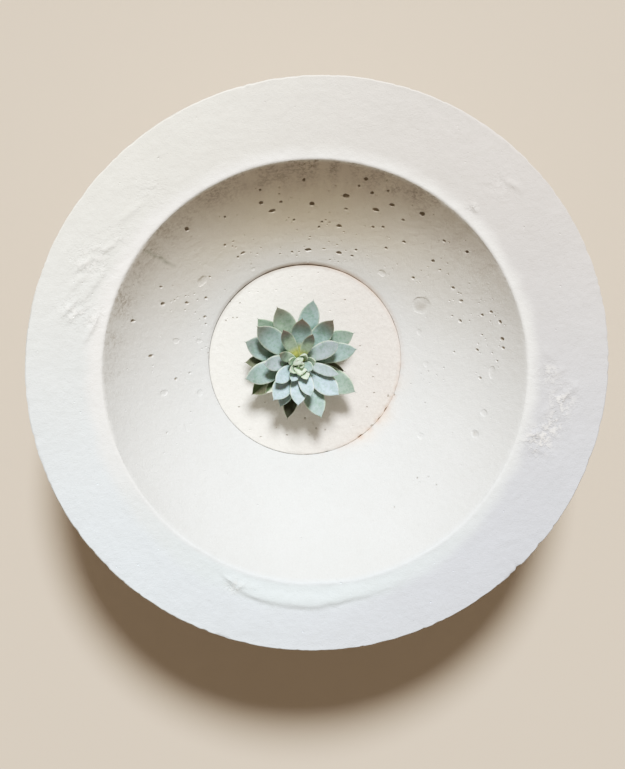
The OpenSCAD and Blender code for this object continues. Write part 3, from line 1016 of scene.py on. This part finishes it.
def disc_ring(share, z, inner_r):
    """A ring between the pot's hole (share 0) and the disc's outer edge (share 1)."""
    ring = []
    for a in turns(AROUND_DISC):
        out = (cos(a), sin(a))
        chip = ease(waver(*out, 0.05, 52), 0.05, 0.4) * facing(degrees(a), -46, 30)
        worn = 0.25 * MM * max(waver(*out, 0.09, 51), 0) + 1.1 * MM * chip
        edge_r = DISC_EDGE_R - worn * ease(z, SEAM_FOOT, DISC_TOP)
        x, y = mix(point_at(POT, inner_r, a), point_at(SEAM_AT, edge_r, a), share)
        relief = 0.0
        if z > DISC_TOP - 0.2 * MM:
            relief = 0.12 * MM * (wrinkle(x, y, 24, 53) - 0.6) + 0.03 * MM * wrinkle(x, y, 4, 54)
        ring.append((x, y, z + relief))
    return ring


def make_disc():
    lip_hole_r = POT_LIP_R + POT_CLEAR
    lip_floor = DISC_TOP - POT_LIP_T
    rings = [disc_ring(0, z, POT_HOLE_R) for z in (DISC_SEAT, DISC_SEAT + POT_HOLE_STEP, lip_floor)]
    rings += [disc_ring(0, z, lip_hole_r) for z in (lip_floor, DISC_TOP - 0.5 * MM)]
    rings += [disc_ring(k / DISC_RINGS, DISC_TOP, lip_hole_r + 0.4 * MM) for k in range(DISC_RINGS)]
    rings.append(disc_ring(1 - DISC_CHAMFER / (DISC_EDGE_R - lip_hole_r), DISC_TOP, lip_hole_r))
    rings += [disc_ring(1, z, POT_HOLE_R) for z in (DISC_TOP - DISC_CHAMFER, SEAM_FOOT, DISC_SEAT)]
    points, faces = closed_rings(rings)
    piece = mesh_object("disc_casting", points, faces, concrete_finish("cream_concrete", 0.22))
    cutters = Cutters(points, faces)
    for x, y, wide, high in DISC_HOLES_PX:
        cutters.hole_seen_at(x, y, wide, high, 0.8, 0.8)
    cutters.pores(*DISC_PORES)
    cutters.cut_from(piece)
    paint(piece, disc_tone, disc_wear)
    dress(piece, "disc", "cream_concrete", "centre_disc")


# ---- the plant

LEAF_CURL = 14
LEAF_RINGS = 30
LEAF_SIDES = 20
LEAF_FACES = tube_faces(LEAF_RINGS, LEAF_SIDES)
# Shares of a leaf's length where it is widest, and where its point begins
LEAF_WIDEST = 0.6
POINT_FROM = 0.955
POINT_WIDTH = 0.045
GOLDEN_ANGLE = 137.5
BUD_TURN = 30
BUD_LEAVES = 4
BUD_CURL = 30
BUD_PLUMP = 0.8
# The young leaf that hoods the growing point
HOOD_TOWARDS = 124
HOOD_NECK = (2.6 * MM, bud_low.z - 2.5 * MM)
HOOD_TIP = (0.8 * MM, bud_high.z - 0.6 * MM)
HOOD_WIDE = 9 * MM
HOOD_CURL = 130
STEM_TIP_R = 2.2 * MM
STEM_LEVELS = 46
STEM_SIDES = 32
SOIL_RINGS = 14
SOIL_SIDES = 72
SOIL_FOOT_SHARE = 0.78
STONES = 46

BLUE_LEAF = srgb(174, 202, 202)
LILAC_LEAF = srgb(190, 208, 217)
ICE_LEAF = srgb(188, 214, 228)
PALE_LEAF = srgb(188, 210, 190)
SAGE_LEAF = srgb(164, 188, 176)
GREEN_LEAF = srgb(148, 172, 154)
# Painted shade: a pale leaf drawn dark where shadow falls on it
SHADOWED_LEAF = srgb(80, 104, 60)
OLIVE_LEAF = srgb(116, 120, 92)
BROWN_LEAF = srgb(104, 86, 60)
# Painted shade: a leaf drawn very dark where deep shadow falls on it
DEEP_SHADOW_LEAF = srgb(34, 38, 6)
YOUNG_LEAF = srgb(222, 238, 218)
NECK_TONE = srgb(200, 222, 196)
YELLOW_NECK = srgb(244, 236, 120)
SLATE_TIP = srgb(98, 114, 104)
MAUVE_TIP = srgb(112, 98, 86)
EDGE_TONE = srgb(226, 232, 210)
# Painted light: a lit strip along the edge of leaves drawn in painted shade
LIT_STRIP = srgb(244, 250, 232)

# How each grown leaf is coloured: its own tone, and by its number how strongly its tip has turned. Leaves 2
# and 9 take painted shade, leaf 3 deep painted shade, and leaf 11 a paler tone as painted light against the
# shade that falls on it
GROWN_LEAVES = (
    (BROWN_LEAF, {1: 0.2}),
    (SHADOWED_LEAF, {2: 0.1, 9: 0.1}),
    (DEEP_SHADOW_LEAF, {3: 0.0}),
    (OLIVE_LEAF, {4: 0.3}),
    (GREEN_LEAF, {5: 0.1}),
    (SAGE_LEAF, {6: 0.2, 7: 0.1}),
    (BLUE_LEAF, {8: 0.25, 10: 0.4, 12: 0.1, 14: 1.0, 15: 0.25, 16: 0.15, 18: 0.6, 20: 1.0}),
    (ICE_LEAF, {11: 0.1, 17: 0.0, 19: 0.0, 22: 0.1, 26: 0.0, 27: 0.1, 30: 0.0}),
    (PALE_LEAF, {13: 0.7, 25: 1.0, 28: 1.0, 29: 0.8}),
    (LILAC_LEAF, {21: 0.1, 23: 0.1, 24: 0.2}),
)
LEAF_TONES = {number: (tone, tip) for tone, leaves in GROWN_LEAVES for number, tip in leaves.items()}
# Leaves drawn slimmer than their solids, and their share of the width
SLIM_LEAVES = {21: 0.74, 23: 0.8, 25: 0.9, 28: 0.84}
# The young leaves: share of the reach, width in millimetres, how far they cup and curl, and their tone
YOUNG_LEAVES = {
    31: (0.70, 7.0, 0.12, 34, PALE_LEAF),
    32: (0.68, 7.0, 0.15, 34, PALE_LEAF),
    33: (0.84, 7.0, 0.15, 30, YOUNG_LEAF),
    34: (0.72, 6.8, 0.32, 58, YOUNG_LEAF),
    35: (0.86, 6.8, 0.32, 58, YOUNG_LEAF),
    36: (1.00, 7.6, 0.12, 26, BLUE_LEAF),
    37: (0.50, 6.0, 0.20, 60, YOUNG_LEAF),
    38: (1.00, 9.4, 0.36, 62, YOUNG_LEAF),
}
# Directions between which the necks above the growing point are yellow
YELLOW_FROM, YELLOW_TO = 60, 122
# Painted shade: how much a leaf's tone is darkened where the leaves above leave it little sky
SKY_SHADE_TONE = (0.2, 0.32, 0.22)
SKY_REACH = 16 * MM
SKY_RAYS = 18


def leaf_facts(node):
    """A leaf's direction, its neck, its tip (distance from the stem's axis and height), and its width."""
    flat = np.array([v.co for v in nodes[node].data.vertices])
    flat = np.unique(flat.round(6), axis=0)
    dx, dy, z = flat[:, 0] - STEM[0], flat[:, 1] - STEM[1], flat[:, 2]
    tip = int(np.argmax(np.hypot(dx, dy)))
    a = atan2(dy[tip], dx[tip])
    out = dx * cos(a) + dy * sin(a)
    side = dy * cos(a) - dx * sin(a)
    along = (out - out[tip]) * (out[tip] - out.min()) + (z - z[tip]) * (z[tip] - z[out.argmin()])
    neck = np.argsort(along)[:10]
    return a, (out[neck].mean(), z[neck].mean()), (out[tip], z[tip]), side.max() - side.min()


def leaf_outline(t):
    """Share of its full width that a leaf has at the share t of its length."""
    if t > POINT_FROM:
        return POINT_WIDTH * (1 - t) / (1 - POINT_FROM)
    t = t / POINT_FROM
    if t < LEAF_WIDEST:
        return 0.3 + 0.7 * sin(pi / 2 * t / LEAF_WIDEST) ** 1.1
    u = (t - LEAF_WIDEST) / (1 - LEAF_WIDEST)
    return max((1 - u**2.6) ** 0.85, POINT_WIDTH)


def leaf_body(t):
    """Share of its full thickness that a leaf has at the share t of its length."""
    if t < LEAF_WIDEST:
        return 0.6 + 0.4 * sin(pi / 2 * t / LEAF_WIDEST)
    u = (t - LEAF_WIDEST) / (1 - LEAF_WIDEST)
    return max((1 - u**2), 0.0) ** 0.75 + 0.08 * u


def leaf_points(facts, rnd, plump=1.0, curl=LEAF_CURL, cupped=0.085):
    """A leaf's points, along an arc, cupped above and keeled below, and where each lies on the leaf.

    That is its share of the length, and the cosine and sine of its turn round the section.
    """
    a, neck, tip, width = facts
    thickness = plump * (MM + 0.16 * width)
    chord = atan2(tip[1] - neck[1], tip[0] - neck[0])
    rise, curl = chord - radians(curl / 2), radians(curl)
    bend_r = (tip[0] - neck[0]) / (sin(rise + curl) - sin(rise))
    sway, twist = rnd.uniform(-0.02, 0.02) * width * 2, radians(rnd.uniform(-5, 5))
    ripple = rnd.uniform(0, 90)
    points, spots = [], []
    for i in range(LEAF_RINGS):
        t = i / (LEAF_RINGS - 1) * 0.995
        lean = rise + curl * t
        out = neck[0] + bend_r * (sin(lean) - sin(rise))
        up = neck[1] + bend_r * (cos(rise) - cos(lean))
        half = width / 2 * leaf_outline(t)
        deep = thickness * leaf_body(t)
        cup = cupped * width * leaf_outline(t)
        for turn in turns(LEAF_SIDES):
            c, s = cos(turn), sin(turn)
            across = half * copysign(abs(c) ** 0.85, c)
            across *= 1 + 0.025 * waver(t * 3, c, 0.7, ripple)
            rib = 0.10 * deep * hump(c, 0.22)
            height = 0.36 * deep * s - rib * s if s > 0 else 0.64 * deep * s * (1 - 0.25 * abs(c))
            height += cup * c * c + 0.012 * width * waver(t * 2.2, c, 0.6, ripple + 5)
            across, height = across + sway * sin(pi * t), height + across * sin(twist * t)
            o, z = out - height * sin(lean), up + height * cos(lean)
            x = STEM[0] + o * cos(a) - across * sin(a)
            y = STEM[1] + o * sin(a) + across * cos(a)
            points.append((x, y, z))
            spots.append((t, c, s))
    return points, spots


def leaf_tone(t, c, s, own, turned, seed, yellow=0.0):
    """A leaf's colour at a share of its length, round its section."""
    reach = 0.58 + 0.14 * waver(c, t, 0.8, seed + 3)
    tone = coat(
        own,
        (NECK_TONE, 0.5 * (1 - ease(t, 0.05, 0.5))),
        (YELLOW_NECK, yellow * (1 - ease(t, 0.17, 0.42))),
        (GREEN_LEAF, 0.25 * ease(waver(t * 4, c, 1.0, seed), 0, 0.8)),
        (SLATE_TIP, 0.9 * turned * ease(t, reach - 0.08, reach + 0.16)),
        (MAUVE_TIP, 0.85 * turned * ease(t, 0.7, 0.9)),
        (BROWN_LEAF, (0.15 + 0.5 * turned) * ease(t, 0.93, 0.985)),
        (EDGE_TONE, 0.65 * ease(abs(c), 0.78, 1.0) * (1 - 0.75 * turned * ease(t, 0.5, 0.8))),
    )
    # A leaf in painted shade gets a painted lit strip along one edge
    if own == SHADOWED_LEAF:
        tone = mix(tone, LIT_STRIP, ease(c, 0.1, 0.4))
    if s < -0.2:
        tone = mix(tone, GREEN_LEAF, 0.2 if own == YOUNG_LEAF else 0.5)
    return tone


def sky_rays():
    """Directions spread evenly over the sky, for their share of its light."""
    rays = []
    for k in range(SKY_RAYS):
        r = sqrt((k + 0.5) / SKY_RAYS)
        rays.append(Vector((*point_at((0, 0), r, radians(GOLDEN_ANGLE) * k), sqrt(1 - r * r))))
    return rays


def joined(blades):
    """The points and faces of several blades together."""
    points, faces = [], []
    for blade in blades:
        faces += [tuple(len(points) + i for i in face) for face in LEAF_FACES]
        points += blade
    return points, faces


def paint_sky_shade(blades):
    """Paints shade into the tones of the blades where other leaves stand in the way of the sky."""
    tree = BVHTree.FromPolygons(*joined(points for _, _, points, _ in blades))
    rays = sky_rays()
    for _, _, points, tones in blades:
        for i, point in enumerate(points):
            start = Vector(point) + Vector((0, 0, 0.5 * MM))
            hidden = sum(tree.ray_cast(start, ray, SKY_REACH)[0] is not None for ray in rays) / SKY_RAYS
            share = ease(hidden, 0.36, 0.95)
            tones[i] = tuple(v * (1 + (dark - 1) * share) for v, dark in zip(tones[i], SKY_SHADE_TONE))


def leaf_blade(node):
    """A leaf's node and slot, the points of its blade and their tones."""
    number = int(node.split("_")[1])
    rnd = random.Random(100 + number)
    a, neck, tip, width = leaf_facts(node)
    yellow = 0.9 if number > 19 and YELLOW_FROM < degrees(a) < YELLOW_TO else 0.0
    if number in LEAF_TONES:
        slot = "leaf"
        own, turned = LEAF_TONES[number]
        width *= SLIM_LEAVES.get(number, 1.0)
        points, spots = leaf_points((a, neck, tip, width), rnd)
    else:
        slot, turned = "young_leaf", 0.0
        share, wide, cupped, curl, own = YOUNG_LEAVES[number]
        tip = (neck[0] + share * (tip[0] - neck[0]), tip[1])
        points, spots = leaf_points((a, neck, tip, wide * MM), rnd, 1.0, curl, cupped)
    tones = [leaf_tone(*spot, own, turned, number * 1.7, yellow) for spot in spots]
    return node, slot, points, tones


def make_leaves(finish):
    blades = [leaf_blade(node) for node in sorted(nodes) if node.startswith("leaf_")]
    paint_sky_shade(blades)
    for node, slot, points, tones in blades:
        piece = mesh_object(f"{node}_blade", points, LEAF_FACES, finish)
        store_colours(piece, "tone", tones)
        dress(piece, "plant", slot, node)


def bud_facts(k):
    """What leaf_facts gives, for a tiny leaf of the bud."""
    neck = (0.2 * MM, bud_low.z + 0.4 * MM)
    tip = ((2.2 - 0.35 * k) * MM, bud_low.z + (bud_high.z - bud_low.z) * (0.8 + 0.05 * k))
    return radians(BUD_TURN + GOLDEN_ANGLE * k), neck, tip, (4.2 - 0.5 * k) * MM


def make_bud(finish):
    """The growing point: a few tiny leaves closed over each other, on the end of the stem."""
    rnd = random.Random(5)
    blades, tones = [], []
    hood = (radians(HOOD_TOWARDS), HOOD_NECK, HOOD_TIP, HOOD_WIDE)
    for k, facts in enumerate([hood, *map(bud_facts, range(BUD_LEAVES))]):
        points, spots = leaf_points(facts, rnd, BUD_PLUMP, HOOD_CURL if k == 0 else BUD_CURL)
        blades.append(points)
        tones += [leaf_tone(*spot, YOUNG_LEAF, 0.1, k) for spot in spots]
    piece = mesh_object("bud_leaves", *joined(blades), finish)
    store_colours(piece, "tone", tones)
    dress(piece, "plant", "young_leaf", "bud")


def make_stem():
    """The fleshy stem, with the scars of old leaves round it."""
    skin = (1.5, 5, 0.6, (1, 1, 0.35))
    bark = grain_finish("stem_skin", skin, (0.35, 0.65), (104, 92, 62), (150, 158, 112), (0.6, 0.85), 0.5)
    points = []
    for i in range(STEM_LEVELS + 1):
        z = stem_low.z + (stem_high.z - stem_low.z) * i / STEM_LEVELS
        r = STEM_R + (STEM_TIP_R - STEM_R) * ease(z, DISC_TOP, stem_high.z)
        for a in turns(STEM_SIDES):
            scar = 0.25 * MM * sin(z / (1.1 * MM) * pi + 3 * a)
            here = r - 0.35 * MM + scar * ease(z, SEAM_FOOT, DISC_TOP)
            here += 0.15 * MM * wrinkle(cos(a) * 0.01, z, 2.5, 61 + sin(a))
            points.append((*point_at(STEM, here, a), z))
    piece = mesh_object("stem_skin", points, tube_faces(STEM_LEVELS + 1, STEM_SIDES), bark)
    dress(piece, "plant", "stem", "stem")


def make_soil():
    """The potting mix, lumpy on top."""
    inner_r = STEM_R * 0.9
    rings = []
    for i in range(SOIL_RINGS + 1):
        share = i / SOIL_RINGS
        r = inner_r + (SOIL_R - inner_r) * i / SOIL_RINGS
        ring = []
        for a in turns(SOIL_SIDES):
            x, y = point_at(mix(STEM, POT, share), r, a)
            lump = 0.9 * MM * (noise.fractal(Vector((x, y, 0)) / 0.004, 0.8, 2.0, 4) - 0.5)
            ring.append((x, y, soil_high.z + lump * (1 - ease(share, 0.9, 1.0))))
        rings.append(ring)
    for centre, r in ((POT, SOIL_R * SOIL_FOOT_SHARE), (STEM, inner_r)):
        rings.append([(*point_at(centre, r, a), soil_low.z) for a in turns(SOIL_SIDES)])
    mould = grain_finish(
        "soil_grain", (1.6, 5, 0.7), (0.35, 0.65), (38, 27, 19), (84, 62, 44), (0.8, 1.0), 1.2,
        lambda f, grain: f.sum(grain, f.cells(2.4), 0.8),
    )
    dress(mesh_object("soil_bed", *closed_rings(rings), mould), "plant", "soil", "potting_mix")


def make_grit():
    """Small stones that lie in the potting mix."""
    stones = bmesh.new()
    rnd = random.Random(11)
    for _ in range(STONES):
        r, a = rnd.uniform(STEM_R + MM, SOIL_R - 1.5 * MM), rnd.uniform(0, 2 * pi)
        size = rnd.uniform(0.5, 1.2) * MM
        at = Vector((*point_at(POT, r, a), soil_high.z + 0.1 * size))
        made = bmesh.ops.create_icosphere(stones, subdivisions=2, radius=size)
        turn = Matrix.Rotation(rnd.uniform(0, 6), 3, Vector((rnd.random(), rnd.random(), 1)))
        shape = Vector((rnd.uniform(0.8, 1.3), rnd.uniform(0.6, 1.0), rnd.uniform(0.5, 0.8)))
        for v in made["verts"]:
            rough = 1 + 0.25 * noise.noise(v.co / size + at * 900)
            v.co = at + turn @ Vector(p * q * rough for p, q in zip(v.co, shape))
    grit = object_of(stones, "soil_grit")
    stone = grain_finish("grit_stone", (0.8, 4, 0.6), (0.3, 0.7), (196, 188, 172), (236, 232, 222), 0.85, 0.3)
    grit.data.materials.append(stone)
    dress(grit, "plant", "soil")


def make_plant():
    skin = leaf_finish()
    make_leaves(skin)
    make_bud(skin)
    make_stem()
    make_soil()
    make_grit()


# ---- nodes that stay as they are


def refinish(node, material, round_off=0.0):
    """A better material on a CAD node, and its sharp edges eased."""
    piece = nodes[node]
    for held in piece.material_slots:
        held.material = material
    if not piece.material_slots:
        piece.data.materials.append(material)
    if round_off:
        bevel = piece.modifiers.new("eased_edges", "BEVEL")
        bevel.width = round_off
        bevel.segments = 2
        bevel.limit_method = "ANGLE"


def finish_other_nodes():
    """Thin terracotta-brown pot plastic with fine turning lines, a woven plastic screen, and felt pads."""
    plastic = grain_finish(
        "pot_plastic", (9, 4, 0.6), (0.4, 0.75, 0.0, 0.5), (74, 56, 46), (112, 92, 78), (0.42, 0.62), 0.08,
        lambda f, grain: f.noise(0.8, 2, 0.5, (0.05, 0.05, 1)),
    )
    weave = grain_finish("screen_mesh", (0.7, 2, 0.5), (0.35, 0.7), (78, 82, 80), (112, 116, 112), 0.7, 0.15)
    felt = grain_finish(
        "pad_felt", (0.5, 5, 0.8, (1, 0.35, 1)), (0.3, 0.7), (98, 80, 62), (150, 128, 104), 0.95, 0.6,
        lambda f, grain: f.sum(grain, f.noise(2.5, 4, 0.7), 0.8), Sheen_Weight=0.4, Sheen_Roughness=0.6,
    )
    refinish("plant_pot", plastic)
    refinish("drain_screen", weave)
    for k in range(1, 5):
        refinish(f"base_pad_{k}", felt, 0.5 * MM)


# ---- studio

# The picture's tone response: scene light against the light shown, gentle in the highlights
TONE_RESPONSE = ((0.0, 0.0), (0.08, 0.115), (0.27, 0.37), (0.46, 0.56), (0.75, 0.765), (1.0, 0.91))
KEY_HEIGHT = 47.5
KEY_SIDE = 0.5
KEY_STRENGTH = 3.5
KEY_SPREAD = 12
FILL_COLOUR = (1.0, 0.77, 0.54)
FILL_STRENGTH = 0.19
FLOOR_TONE = srgb(206, 194, 178)
FLOOR_ROUGHNESS = 0.9
FLOOR_HALF = 40.0


def make_studio():
    corners = [(x * FLOOR_HALF, y * FLOOR_HALF, 0) for x, y in ((-1, -1), (1, -1), (1, 1), (-1, 1))]
    matt = Finish("studio_floor").surface(FLOOR_TONE, FLOOR_ROUGHNESS)
    floor = mesh_object("studio_floor", corners, [(0, 1, 2, 3)], matt)
    sun = bpy.data.lights.new("key", "SUN")
    sun.energy = KEY_STRENGTH
    sun.angle = radians(KEY_SPREAD)
    key = add_object("key", sun)
    height, side = radians(KEY_HEIGHT), radians(KEY_SIDE)
    towards = Vector((-sin(side) * cos(height), cos(side) * cos(height), sin(height)))
    key.rotation_mode = "QUATERNION"
    key.rotation_quaternion = towards.to_track_quat("Z", "Y")
    world = bpy.data.worlds.new("room")
    world.use_nodes = True
    world.node_tree.nodes["Background"].inputs["Color"].default_value = (*FILL_COLOUR, 1)
    world.node_tree.nodes["Background"].inputs["Strength"].default_value = FILL_STRENGTH
    bpy.context.scene.world = world


def set_tone_response():
    view = bpy.context.scene.view_settings
    view.view_transform = "Standard"
    view.use_curve_mapping = True
    mapping = view.curve_mapping
    mapping.use_clip = False
    mapping.extend = "EXTRAPOLATED"
    curve = mapping.curves[3]
    for _ in range(len(TONE_RESPONSE) - len(curve.points)):
        curve.points.new(0.5, 0.5)
    for point, spot in zip(curve.points, TONE_RESPONSE):
        point.location = spot
    mapping.update()


make_camera()
make_studio()
set_tone_response()
make_bowl()
make_disc()
make_plant()
finish_other_nodes()
